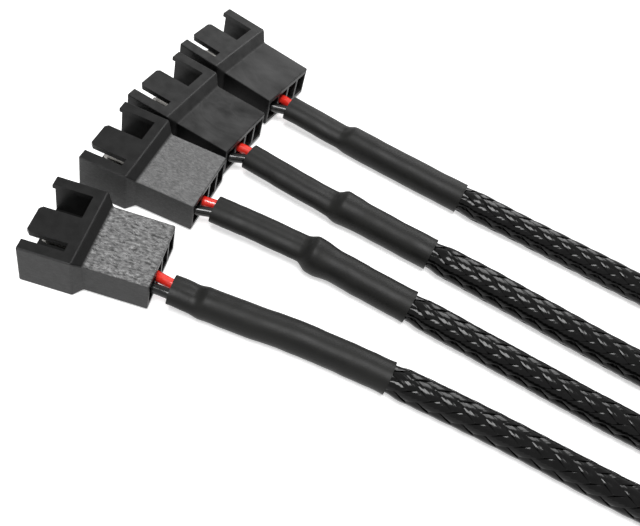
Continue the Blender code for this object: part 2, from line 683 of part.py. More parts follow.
def main():
    clear_scene()
    parts = new_collection("fan_splitter_cable")
    cutters = new_collection("cutters")
    materials = {
        "housing": new_material("black_connector_plastic", (0.018, 0.018, 0.019), 0.45),
        "contact": new_material("tinned_contact_metal", (0.72, 0.70, 0.66), 0.25, 1.0),
        "black_wire": new_material("black_wire_insulation", (0.012, 0.012, 0.012), 0.35),
        "red_wire": new_material("red_wire_insulation", (0.62, 0.02, 0.015), 0.35),
        "tube": new_material("black_heat_shrink", (0.03, 0.029, 0.027), 0.38),
        "sleeve": new_material("black_braided_sleeve", (0.012, 0.012, 0.012), 0.5),
        "plug": new_material("black_plug_plastic", (0.02, 0.02, 0.02), 0.4),
    }
    connector = make_connector_mesh(cutters)
    contact = make_contact_mesh(cutters)
    for number, (leg, to_table) in enumerate(zip(LEGS, connector_places()), start=1):
        make_leg(number, leg, to_table, connector, contact, parts, materials)
    make_joint(parts, materials["tube"])
    make_input_lead(cutters, parts, materials)


main()
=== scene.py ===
import math

import bpy
import numpy as np
from mathutils import Matrix, Vector


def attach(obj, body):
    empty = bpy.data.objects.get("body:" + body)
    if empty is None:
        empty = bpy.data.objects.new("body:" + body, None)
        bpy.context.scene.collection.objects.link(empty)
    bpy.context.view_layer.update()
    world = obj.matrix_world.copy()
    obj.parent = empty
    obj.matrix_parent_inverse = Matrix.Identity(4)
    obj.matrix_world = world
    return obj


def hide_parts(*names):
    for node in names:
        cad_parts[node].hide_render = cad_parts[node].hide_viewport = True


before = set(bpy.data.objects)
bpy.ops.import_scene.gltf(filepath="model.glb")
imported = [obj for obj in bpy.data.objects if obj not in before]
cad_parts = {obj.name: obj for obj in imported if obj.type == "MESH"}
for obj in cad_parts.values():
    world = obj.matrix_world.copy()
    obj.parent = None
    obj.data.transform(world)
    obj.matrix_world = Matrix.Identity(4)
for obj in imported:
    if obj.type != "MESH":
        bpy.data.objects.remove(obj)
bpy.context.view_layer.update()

bpy.ops.object.select_all(action="DESELECT")


# Leg wires
# Every leg starts as two stranded copper wires in PVC, black for ground and red for the supply.
# They leave the connector side by side and run the length of the leg inside its tube and sleeve.
FIT_GAP = 0.0003
WIRE_DIAMETER = 0.00145
WIRE_SPACING = 0.0016
BARREL_END = 0.0070
REAR_LENGTH = 0.0086
CAVITY_MIDDLE = 0.002925
PIN_PITCH = 0.00254
CAVITY_ROW_MIDDLE = 1.5
WIRE_LEAN = 0.00030
TUBE_LENGTH = 0.0305
SLEEVE_GRIPPED = 0.0025
SETTLING_LENGTH = 0.0150
JOINT_PLACE = Vector((0.1743, -0.0020))
JOINT_HEIGHT = 0.0051
APPROACH_LENGTH = 0.0155
LEG_SPACING = 0.0046
LINE_STEPS = 24
WIRE_STEP_IN_TUBE = 0.0015
WIRE_STEP_IN_SLEEVE = 0.0040
WIRE_KEEPS_EVERY = 4
MOTTLE_COLOUR_RANGE = (0.35, 0.68)
MOTTLE_ROUGHNESS_RANGE = (0.3, 0.7)

# Per leg: where its connector lies and how it is turned, in degrees; how far behind the connector
# and to its side the tube starts; how far inside the tube the sleeve starts, and the height of the
# fold over its cut end; sleeve and tube diameter; how far the narrow part of the tube lies to one
# side; and the leg's way on the table.
LEGS = (
    {"place": (-0.0164, 0.0214), "turn": -8.9, "exit": 0.0018, "aside": -0.0016,
     "sleeve_inset": 0.0111, "bump": 0.0, "sleeve": 0.0045, "tube": 0.0046, "shift": -0.0002,
     "route": ((-0.0013, 0.0181), (0.0043, 0.0180), (0.0108, 0.0176), (0.0240, 0.0170),
               (0.0392, 0.0166), (0.0526, 0.0162), (0.0718, 0.0155), (0.0928, 0.0134),
               (0.1148, 0.0100), (0.1378, 0.0068))},
    {"place": (-0.0172, 0.0076), "turn": -5.3, "exit": 0.0020, "aside": -0.0013,
     "sleeve_inset": 0.0160, "bump": 0.0003, "sleeve": 0.0048, "tube": 0.0047, "shift": -0.0003,
     "route": ((0.0011, 0.0047), (0.0089, 0.0043), (0.0170, 0.0040), (0.0242, 0.0038),
               (0.0349, 0.0033), (0.0554, 0.0020), (0.0758, 0.0016), (0.0958, 0.0018),
               (0.1158, 0.0015), (0.1378, 0.0008))},
    {"place": (-0.0169, -0.0053), "turn": 3.4, "exit": 0.0020, "aside": -0.0023,
     "sleeve_inset": 0.0153, "bump": 0.00035, "sleeve": 0.0045, "tube": 0.0047, "shift": 0.0002,
     "route": ((0.0012, -0.0064), (0.0089, -0.0061), (0.0165, -0.0063), (0.0242, -0.0065),
               (0.0380, -0.0071), (0.0573, -0.0080), (0.0768, -0.0081), (0.0968, -0.0070),
               (0.1168, -0.0055), (0.1378, -0.0047))},
    {"place": (-0.0157, -0.0211), "turn": 11.7, "exit": 0.0023, "aside": -0.0029,
     "sleeve_inset": 0.0047, "bump": 0.0, "sleeve": 0.0045, "tube": 0.0045, "shift": 0.0,
     "route": ((0.0001, -0.0209), (0.0063, -0.0201), (0.0132, -0.0191), (0.0255, -0.0183),
               (0.0412, -0.0179), (0.0593, -0.0181), (0.0778, -0.0174), (0.0968, -0.0150),
               (0.1168, -0.0119), (0.1388, -0.0097))},
)


def connector_frame(leg):
    """From the connector's own axes, mating end towards -X, to the table."""
    return (Matrix.Translation((*leg["place"], 0.0))
            @ Matrix.Rotation(math.radians(leg["turn"]), 4, "Z"))


def smooth_line(points):
    """Points close together on a smooth curve through the given ones."""
    padded = [2 * points[0] - points[1], *points, 2 * points[-1] - points[-2]]
    line = []
    for before, start, end, after in zip(padded, padded[1:], padded[2:], padded[3:]):
        for step in range(LINE_STEPS):
            t = step / LINE_STEPS
            line.append(0.5 * (2 * start + (end - before) * t
                               + (2 * before - 5 * start + 4 * end - after) * t ** 2
                               + (3 * start - before - 3 * end + after) * t ** 3))
    line.append(points[-1].copy())
    return np.array([tuple(point) for point in line])


def lengths_along(line):
    return np.concatenate(([0.0], np.cumsum(np.linalg.norm(np.diff(line, axis=0), axis=1))))


def eased(distance, keys):
    """Value at each distance, from (distance, value) keys with a soft change between them."""
    places = np.array([place for place, _ in keys])
    values = np.array([value for _, value in keys])
    index = np.clip(np.searchsorted(places, distance) - 1, 0, len(keys) - 2)
    share = np.clip((distance - places[index]) / (places[index + 1] - places[index]), 0.0, 1.0)
    share = share * share * (3 - 2 * share)
    return values[index] + (values[index + 1] - values[index]) * share


def leg_line(number, leg):
    """The leg's middle line on the table, with the distance of each point from its start."""
    start = (connector_frame(leg)
             @ Vector((REAR_LENGTH + leg["exit"], leg["aside"], 0.0))).to_2d()
    row = (len(LEGS) + 1) / 2 - number
    entry = JOINT_PLACE + Vector((-FIT_GAP, row * LEG_SPACING))
    approach = entry - Vector((APPROACH_LENGTH, 0.0))
    flat = smooth_line([start, *(Vector(point) for point in leg["route"]), approach, entry])
    along = lengths_along(flat)
    heights = eased(along, ((0.0, CAVITY_MIDDLE),
                            (leg["sleeve_inset"], leg["tube"] / 2 + leg["bump"]),
                            (TUBE_LENGTH, max(leg["tube"], leg["sleeve"]) / 2),
                            (TUBE_LENGTH + SETTLING_LENGTH, leg["sleeve"] / 2),
                            (along[-1] - APPROACH_LENGTH, leg["sleeve"] / 2),
                            (along[-1], JOINT_HEIGHT / 2)))
    return along, np.column_stack((flat, heights))


def on_leg(line, distance, aside, above):
    """Places at distances along a leg, so far to its +Y side and above its middle."""
    along, points = line
    middle = np.column_stack([np.interp(distance, along, points[:, axis]) for axis in range(3)])
    slopes = np.gradient(points, along, axis=0)
    ahead = np.column_stack([np.interp(distance, along, slopes[:, axis]) for axis in range(3)])
    past_end = distance - np.clip(distance, along[0], along[-1])
    side = np.column_stack((-ahead[:, 1], ahead[:, 0], np.zeros(len(distance))))
    side /= np.linalg.norm(side, axis=1)[:, None]
    up = np.cross(ahead, side)
    up /= np.linalg.norm(up, axis=1)[:, None]
    return (middle + ahead * past_end[:, None] + side * np.reshape(aside, (-1, 1))
            + up * np.reshape(above, (-1, 1)))


def insulated_wire(name, points, diameter):
    """A round insulated wire through the points, as one open spline."""
    curve = bpy.data.curves.new(name, "CURVE")
    curve.dimensions = "3D"
    curve.bevel_depth = diameter / 2
    curve.bevel_resolution = 6
    curve.use_fill_caps = True
    spline = curve.splines.new("POLY")
    spline.points.add(len(points) - 1)
    for knot, place in zip(spline.points, points):
        knot.co = (*place, 1.0)
    spline.use_smooth = True
    wire = bpy.data.objects.new(name, curve)
    bpy.context.scene.collection.objects.link(wire)
    return wire


def plain_finish(name, colour, roughness, specular=0.5, metallic=0.0):
    """A new material with its constant values on the shader."""
    material = bpy.data.materials.new(name)
    material.use_nodes = True
    shader = material.node_tree.nodes["Principled BSDF"]
    shader.inputs["Base Color"].default_value = (*colour, 1.0)
    shader.inputs["Roughness"].default_value = roughness
    shader.inputs["Specular IOR Level"].default_value = specular
    shader.inputs["Metallic"].default_value = metallic
    return material


def fine_grain_group():
    """Fine surface grain on the piece's own coordinates: its height, and a broad mottle."""
    group = bpy.data.node_groups.new("fine_grain", "ShaderNodeTree")
    for socket in ("Grain Scale", "Mottle Scale"):
        group.interface.new_socket(socket, in_out="INPUT", socket_type="NodeSocketFloat")
    for socket in ("Grain", "Mottle"):
        group.interface.new_socket(socket, in_out="OUTPUT", socket_type="NodeSocketFloat")
    nodes, links = group.nodes, group.links
    given = nodes.new("NodeGroupInput")
    handed = nodes.new("NodeGroupOutput")
    place = nodes.new("ShaderNodeTexCoord")
    for socket, detail in (("Grain", 2.0), ("Mottle", 4.0)):
        noise = nodes.new("ShaderNodeTexNoise")
        noise.inputs["Detail"].default_value = detail
        links.new(place.outputs["Object"], noise.inputs["Vector"])
        links.new(given.outputs[socket + " Scale"], noise.inputs["Scale"])
        links.new(noise.outputs["Fac"], handed.inputs[socket])
    return group


FINE_GRAIN = fine_grain_group()


def spread(nodes, links, value, low, high, to_low, to_high):
    """A value's range from low to high, spread over another range and held there."""
    node = nodes.new("ShaderNodeMapRange")
    node.inputs["From Min"].default_value = low
    node.inputs["From Max"].default_value = high
    node.inputs["To Min"].default_value = to_low
    node.inputs["To Max"].default_value = to_high
    links.new(value, node.inputs["Value"])
    return node.outputs["Result"]


def tones(nodes, links, value, low, high, dark, light):
    """A colour from dark to light as the value goes from low to high."""
    node = nodes.new("ShaderNodeValToRGB")
    for element, position, colour in zip(node.color_ramp.elements, (low, high), (dark, light)):
        element.position = position
        element.color = (*colour, 1.0)
    links.new(value, node.inputs["Fac"])
    return node.outputs["Color"]


def add_grain(material, grain_scale, mottle_scale, depth, dark, light, smooth, rough):
    """Give a finish its grain: bump from the grain, colour and roughness from the mottle."""
    nodes, links = material.node_tree.nodes, material.node_tree.links
    shader = nodes["Principled BSDF"]
    grain = nodes.new("ShaderNodeGroup")
    grain.node_tree = FINE_GRAIN
    grain.inputs["Grain Scale"].default_value = grain_scale
    grain.inputs["Mottle Scale"].default_value = mottle_scale
    bump = nodes.new("ShaderNodeBump")
    bump.inputs["Distance"].default_value = depth
    links.new(grain.outputs["Grain"], bump.inputs["Height"])
    links.new(bump.outputs["Normal"], shader.inputs["Normal"])
    links.new(tones(nodes, links, grain.outputs["Mottle"], *MOTTLE_COLOUR_RANGE, dark, light),
              shader.inputs["Base Color"])
    links.new(spread(nodes, links, grain.outputs["Mottle"], *MOTTLE_ROUGHNESS_RANGE, smooth,
                     rough), shader.inputs["Roughness"])
    return material


BLACK_PVC = add_grain(
    plain_finish("black_wire_insulation", (0.008, 0.008, 0.008), 0.2, specular=0.3),
    grain_scale=4000, mottle_scale=600, depth=0.000003,
    dark=(0.005, 0.005, 0.005), light=(0.010, 0.010, 0.010), smooth=0.14, rough=0.22)
RED_PVC = add_grain(
    plain_finish("red_wire_insulation", (0.70, 0.04, 0.025), 0.3, specular=0.6),
    grain_scale=4000, mottle_scale=600, depth=0.000003,
    dark=(0.60, 0.014, 0.009), light=(0.80, 0.040, 0.025), smooth=0.14, rough=0.22)

leg_lines = [leg_line(number, leg) for number, leg in enumerate(LEGS, start=1)]
for number, (leg, line) in enumerate(zip(LEGS, leg_lines), start=1):
    to_table = connector_frame(leg)
    for colour, cavity, side, finish in (("black", 0, -1, BLACK_PVC), ("red", 1, 1, RED_PVC)):
        cavity_y = (cavity - CAVITY_ROW_MIDDLE) * PIN_PITCH
        mouth = to_table.inverted() @ Vector(line[1][0])
        lean = math.copysign(WIRE_LEAN, mouth.y + side * WIRE_SPACING / 2 - cavity_y)
        stops = np.concatenate((np.arange(0.0, TUBE_LENGTH, WIRE_STEP_IN_TUBE),
                                np.arange(TUBE_LENGTH, line[0][-1] + SLEEVE_GRIPPED,
                                          WIRE_STEP_IN_SLEEVE)))
        aside = side * WIRE_SPACING / 2 + eased(stops, ((0.0, leg["shift"]),
                                                        (leg["sleeve_inset"], 0.0)))
        route = [to_table @ Vector((BARREL_END + FIT_GAP, cavity_y, CAVITY_MIDDLE)),
                 to_table @ Vector((REAR_LENGTH, cavity_y + lean, CAVITY_MIDDLE))]
        route += [Vector(point) for point in on_leg(line, stops, aside, 0.0)]
        wire = insulated_wire(f"{colour}_wire_{number}_insulation",
                              smooth_line(route)[::WIRE_KEEPS_EVERY], WIRE_DIAMETER)
        wire.data.materials.append(finish)
        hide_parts(f"{colour}_wire_{number}")
        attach(wire, "root")


# Braided sleeves
# Each leg runs in a tubular braid of black polyester: sixteen flat carriers of parallel
# filaments, eight each way, two over and two under. It is cut to length and slides over the wires.
CARRIERS_EACH_WAY = 8
LAY_LENGTH = 0.0252
CARRIER_SHARE = 0.98
CARRIER_THICKNESS = 0.00020
WEAVE_DEPTH = 0.00019
FILAMENTS = 4
FILAMENT_DEPTH = 0.000016
CARRIER_ARCH = 0.00004
CARRIER_FOOT = 0.9
CARRIER_DIVE = 4
CARRIER_EDGE_ANGLE = math.radians(50)
STATIONS_A_CROSSING = 3.0
CROWN = 0.5
SLEEVE_INSIDE_TUBE = 0.0020
SLEEVE_OPENING_LENGTH = 0.0025
ROW_TURN = math.radians(4.0)
UNEVEN_WAVES = 6
UNEVEN_PERIODS = (0.006, 0.03)
UNEVEN_TURN = 0.05
UNEVEN_TURN_PACE = 1.7
UNEVEN_RADIUS = 0.00006


def carrier_section():
    """Across one carrier, from edge to edge and back underneath: (share of half width, height)."""
    top = []
    for filament in range(FILAMENTS):
        for share in (0.0, 1 / 3, 2 / 3):
            across = (filament + share) / FILAMENTS * 2 - 1
            top.append((across, FILAMENT_DEPTH * (math.sin(math.pi * share) - 1)
                        - CARRIER_ARCH * across ** 2))
    top.append((1.0, -FILAMENT_DEPTH - CARRIER_ARCH))
    lower = -FILAMENT_DEPTH - CARRIER_THICKNESS
    return [*top, (CARRIER_FOOT, lower), (-CARRIER_FOOT, lower)]


def woven_height(crossing):
    """Height of a carrier that goes over two others from crossing 0 to 1 and under the next two."""
    wave = np.cos(2 * math.pi * (crossing - 0.5) / 4)
    return WEAVE_DEPTH * np.tanh(CARRIER_DIVE * wave) * (1 - CROWN + CROWN * np.abs(wave))


def braid(start, end, outer_radius):
    """The braid along +X from start to end: its vertices' distance, angle and radius; its faces."""
    section = np.array(carrier_section())
    sides = len(section)
    lattice = 2 * CARRIERS_EACH_WAY
    cell = LAY_LENGTH / lattice
    distances, angles, radii, faces = [], [], [], []
    count = 0
    for way in (1, -1):
        for carrier in range(CARRIERS_EACH_WAY):
            first = way * carrier + start / cell
            stations = first + np.arange(0.0, (end - start) / cell, 1 / STATIONS_A_CROSSING)
            own = way * carrier + section[:, 0] * CARRIER_SHARE / 2
            crossing, own = np.meshgrid(stations, own, indexing="ij")
            lift = woven_height(way * stations + carrier) * way
            distances.append(((crossing - own) * cell).ravel())
            angles.append(((crossing + own) * way * 2 * math.pi / lattice).ravel())
            radii.append((section[:, 1] + lift[:, None]).ravel())
            ring = np.arange(sides)
            after = (ring + 1) % sides
            for row in range(len(stations) - 1):
                low = count + row * sides
                quads = np.column_stack((low + ring, low + after, low + sides + after,
                                         low + sides + ring))
                faces.extend((quads if way == 1 else quads[:, ::-1]).tolist())
            count += len(stations) * sides
    distances = np.concatenate(distances)
    middle = outer_radius(distances) - WEAVE_DEPTH
    return distances, np.concatenate(angles), middle + np.concatenate(radii), faces


def finish_braid(piece):
    """Close the carriers' ends and turn all their faces outwards."""
    bpy.ops.object.select_all(action="DESELECT")
    bpy.context.view_layer.objects.active = piece
    piece.select_set(True)
    bpy.ops.object.mode_set(mode="EDIT")
    bpy.ops.mesh.select_mode(type="EDGE")
    bpy.ops.mesh.select_all(action="DESELECT")
    bpy.ops.mesh.select_non_manifold()
    bpy.ops.mesh.edge_face_add()
    bpy.ops.mesh.select_all(action="SELECT")
    bpy.ops.mesh.normals_make_consistent(inside=False)
    bpy.ops.object.mode_set(mode="OBJECT")
    bpy.ops.object.shade_smooth_by_angle(angle=CARRIER_EDGE_ANGLE)
    piece.select_set(False)


BRAID_BLACK = add_grain(
    plain_finish("black_braid", (0.002, 0.002, 0.002), 0.15, specular=0.16),
    grain_scale=9000, mottle_scale=900, depth=0.000002,
    dark=(0.001, 0.001, 0.001), light=(0.003, 0.003, 0.003), smooth=0.10, rough=0.17)

sleeves = []
for number, (leg, line) in enumerate(zip(LEGS, leg_lines), start=1):
    leg_end = line[0][-1]
    start = TUBE_LENGTH - SLEEVE_GRIPPED
    end = leg_end + SLEEVE_GRIPPED
    unevenness = np.random.default_rng(number)
    waves = [(unevenness.uniform(*UNEVEN_PERIODS), unevenness.uniform(0, 2 * math.pi))
             for _ in range(UNEVEN_WAVES)]

    def uneven(distance):
        """Slow irregular waves along this sleeve, from -1 to 1."""
        return sum(np.sin(2 * math.pi * distance / period + phase)
                   for period, phase in waves) / len(waves)

    def outer_radius(distance):
        """This sleeve's radius: drawn in under the tube and the boot, and level between them."""
        by_neighbour = LEG_SPACING / 2 - FIT_GAP / 2
        radius = eased(distance, ((start, SLEEVE_INSIDE_TUBE), (TUBE_LENGTH, SLEEVE_INSIDE_TUBE),
                                  (TUBE_LENGTH + SLEEVE_OPENING_LENGTH, leg["sleeve"] / 2),
                                  (leg_end - 2 * APPROACH_LENGTH, leg["sleeve"] / 2),
                                  (leg_end - APPROACH_LENGTH, by_neighbour),
                                  (leg_end - SLEEVE_OPENING_LENGTH, by_neighbour),
                                  (leg_end, SLEEVE_INSIDE_TUBE), (end, SLEEVE_INSIDE_TUBE)))
        return radius - UNEVEN_RADIUS * (0.5 + uneven(distance))

    distance, angle, radius, faces = braid(start, end, outer_radius)
    angle += ROW_TURN + UNEVEN_TURN * uneven(distance * UNEVEN_TURN_PACE)
    places = on_leg(line, distance, radius * np.cos(angle), radius * np.sin(angle))
    mesh = bpy.data.meshes.new(f"braided_sleeve_{number}_weave")
    mesh.from_pydata(places.tolist(), [], faces)
    sleeve = bpy.data.objects.new(f"braided_sleeve_{number}_weave", mesh)
    bpy.context.scene.collection.objects.link(sleeve)
    finish_braid(sleeve)
    sleeve.data.materials.append(BRAID_BLACK)
    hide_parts(f"braided_sleeve_{number}")
    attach(sleeve, "root")
    sleeves.append(sleeve)


# Heat-shrink tubes
# Black polyolefin tube, shrunk over the two wires and the start of the sleeve: narrow and a
# little flat over the wires alone, with a soft fold where it passes over the sleeve's cut end.
TUBE_WALL = 0.0003
TUBE_STEP = 0.0018
NARROW_HEIGHT = 0.0032
NARROW_WIDTH = 0.0044
TUBE_SIDES = 64
RING_SPACING = 0.0004
WIRE_GROOVE = 0.07
WIRE_GROOVE_WIDTH = WIRE_SPACING / 3
END_FLARE = 0.00005
END_FLARE_LENGTH = 0.0004
CREASE = 0.00005
CREASE_WAVES = 10
CREASE_PERIODS = (0.002, 0.009)
FOLD_CREASE = 0.00010
SKIN_EDGE_ANGLE = math.radians(40)


def extruded_skin(name, stations, widths, heights, sides):
    """An open skin along +X: one ring, extruded from station to station and sized at each."""
    bpy.ops.object.select_all(action="DESELECT")
    bpy.ops.mesh.primitive_circle_add(vertices=sides, radius=0.5, fill_type="NOTHING",
                                      location=(stations[0], 0.0, 0.0),
                                      rotation=(0.0, math.pi / 2, 0.0))
    skin = bpy.context.active_object
    skin.name = skin.data.name = name
    bpy.ops.object.transform_apply(location=True, rotation=True, scale=True)
    bpy.ops.object.mode_set(mode="EDIT")
    bpy.ops.mesh.select_all(action="SELECT")
    bpy.ops.transform.resize(value=(1.0, widths[0], heights[0]),
                             center_override=(stations[0], 0.0, 0.0))
    for index in range(1, len(stations)):
        step = stations[index] - stations[index - 1]
        bpy.ops.mesh.extrude_edges_move(TRANSFORM_OT_translate={"value": (step, 0.0, 0.0)})
        bpy.ops.transform.resize(value=(1.0, widths[index] / widths[index - 1],
                                        heights[index] / heights[index - 1]),
                                 center_override=(stations[index], 0.0, 0.0))
    bpy.ops.object.mode_set(mode="OBJECT")
    outward = sum(face.normal.dot(Vector((0.0, face.center.y, face.center.z)))
                  for face in skin.data.polygons)
    if outward < 0:
        bpy.ops.object.mode_set(mode="EDIT")
        bpy.ops.mesh.select_all(action="SELECT")
        bpy.ops.mesh.flip_normals()
        bpy.ops.object.mode_set(mode="OBJECT")
    bpy.ops.object.shade_smooth()
    return skin


def mesh_places(piece):
    places = np.zeros(len(piece.data.vertices) * 3)
    piece.data.vertices.foreach_get("co", places)
    return places.reshape(-1, 3)


def set_places(piece, places):
    piece.data.vertices.foreach_set("co", places.ravel())
    piece.data.update()


def give_wall(piece, thickness):
    """Thicken a skin inwards and apply it."""
    wall = piece.modifiers.new("wall", "SOLIDIFY")
    wall.thickness = thickness
    wall.offset = -1.0
    bpy.ops.object.select_all(action="DESELECT")
    bpy.context.view_layer.objects.active = piece
    piece.select_set(True)
    bpy.ops.object.modifier_apply(modifier=wall.name)
    bpy.ops.object.shade_smooth_by_angle(angle=SKIN_EDGE_ANGLE)
    piece.select_set(False)


def creases(places, seed):
    """Shallow hollows and swells of shrunk tube, along it and round it, mostly from -1 to 1."""
    chance = np.random.default_rng(seed)
    around = np.arctan2(places[:, 2], places[:, 1])
    height = np.zeros(len(places))
    for _ in range(CREASE_WAVES):
        period, turns = chance.uniform(*CREASE_PERIODS), chance.integers(-2, 3)
        height += np.sin(2 * math.pi * places[:, 0] / period + turns * around
                         + chance.uniform(0, 2 * math.pi))
    return height / 4


SHRINK_BLACK = add_grain(
    plain_finish("black_heat_shrink", (0.005, 0.005, 0.005), 0.49, specular=0.2),
    grain_scale=2600, mottle_scale=260, depth=0.000015,
    dark=(0.003, 0.003, 0.0027), light=(0.006, 0.006, 0.0054), smooth=0.43, rough=0.55)

for number, (leg, line) in enumerate(zip(LEGS, leg_lines), start=1):
    inset = leg["sleeve_inset"]
    stations = np.linspace(0.0, TUBE_LENGTH, round(TUBE_LENGTH / RING_SPACING) + 1)
    over_sleeve = ((inset, leg["tube"] + 2 * leg["bump"]),
                   (inset + 2 * TUBE_STEP, leg["tube"]), (TUBE_LENGTH, leg["tube"]))
    widths = eased(stations, ((0.0, NARROW_WIDTH), (inset - TUBE_STEP, NARROW_WIDTH),
                              *over_sleeve))
    heights = eased(stations, ((0.0, NARROW_HEIGHT), (inset - TUBE_STEP, NARROW_HEIGHT),
                               *over_sleeve))
    flare = 2 * END_FLARE * np.exp((stations - TUBE_LENGTH) / END_FLARE_LENGTH)
    tube = extruded_skin(f"heat_shrink_tube_{number}_skin", stations, widths + flare,
                         heights + flare, TUBE_SIDES)
    places = mesh_places(tube)
    narrow = eased(places[:, 0], ((0.0, 1.0), (inset - TUBE_STEP, 1.0), (inset, 0.0),
                                  (TUBE_LENGTH, 0.0)))
    groove = WIRE_GROOVE * narrow * np.exp(-(places[:, 1] / WIRE_GROOVE_WIDTH) ** 2)
    crumpled = FOLD_CREASE * np.exp(-((places[:, 0] - inset) / TUBE_STEP) ** 2)
    depth = CREASE + (crumpled if leg["bump"] > 0 else 0.0)
    swell = 1 + creases(places, seed=number) * depth / leg["tube"]
    places[:, 1] = places[:, 1] * swell + leg["shift"] * narrow
    places[:, 2] *= (1 - groove) * swell
    set_places(tube, places)
    give_wall(tube, TUBE_WALL)
    places = mesh_places(tube)
    set_places(tube, on_leg(line, places[:, 0], places[:, 1], places[:, 2]))
    tube.data.materials.append(SHRINK_BLACK)
    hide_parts(f"heat_shrink_tube_{number}")
    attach(tube, "root")


# Crimped contacts
# Stamped brass, tin plated: a square pin that reaches into the socket, a box that latches in the
# housing's cavity and a barrel that is crimped on the wire.
# The tin's tones are kept far below bright tin: painted shade for the contacts and plug pins that
# sit in their housings' slots and cavities.
TINNED_WITH_PAINTED_SHADE = add_grain(
    plain_finish("tinned_contact_painted_shade", (0.5, 0.48, 0.45), 0.3, metallic=1.0),
    grain_scale=3000, mottle_scale=900, depth=0.000010,
    dark=(0.20, 0.195, 0.185), light=(0.34, 0.33, 0.31), smooth=0.24, rough=0.42)
for number in range(1, len(LEGS) + 1):
    for use in ("ground", "supply"):
        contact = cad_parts[f"{use}_contact_{number}"]
        contact.data.materials.clear()
        contact.data.materials.append(TINNED_WITH_PAINTED_SHADE)


# Connector housings
# Moulded black nylon, one shot each: a smooth keyed socket in front, and behind it the rear block,
# whose top comes from a spark-eroded mould face and shows pale flow marks, not alike on any two.
# The tones of each housing's rear top, socket and long sides are painted light and shade: lighter
# where light catches the housing, darker on the long sides of housings 1 and 2 where their
# neighbours shade them.
REAR_TOP = 0.0055
REAR_FRONT = 0.0
REAR_HALF_WIDTH = 0.0053
REAR_FRONT_BLEND = 0.0002
REAR_TOP_BLEND = (0.00020, 0.00005)
SIDE_FACE_RANGE = (0.5, 0.7)
REAR_TOP_ROUGHNESS = 0.55
REAR_TOP_RELIEF = 0.00004
FLOW_LINE_DISTORTION = 1.6
FLOW_LINE_REACH = 0.16
CLOUD_SCALE = 2.3
CLOUD_RANGE = (0.3, 0.7)
CLOUD_SHARE = 0.55
SOCKET_TONE_RANGE = (0.8, 1.3)
SIDE_TONE_RANGE = (0.77, 1.3)

# Per housing: darkest and lightest tone of the rear top, length and width of its marks, how far
# they run together, and the tones of the socket and of the long sides. These tones are painted
# light and shade on one nylon: the rear tops of housings 3 and 4 lit much lighter, the sockets
# toned the same way, and the long sides of housings 1 and 2 darkened as painted shade from their
# neighbours.
HOUSING_MARKS_AND_PAINTED_LIGHT = (
    {"dark": 0.001, "light": 0.064, "long": 60, "wide": 100, "blur": 2.2,
     "socket": 0.026, "side": 0.003},
    {"dark": 0.001, "light": 0.045, "long": 130, "wide": 190, "blur": 1.4,
     "socket": 0.018, "side": 0.002},
    {"dark": 0.085, "light": 0.215, "long": 900, "wide": 1700, "blur": 0.4,
     "socket": 0.007, "side": 0.055},
    {"dark": 0.032, "light": 0.42, "long": 640, "wide": 1250, "blur": 0.18,
     "socket": 0.006, "side": 0.042},
)


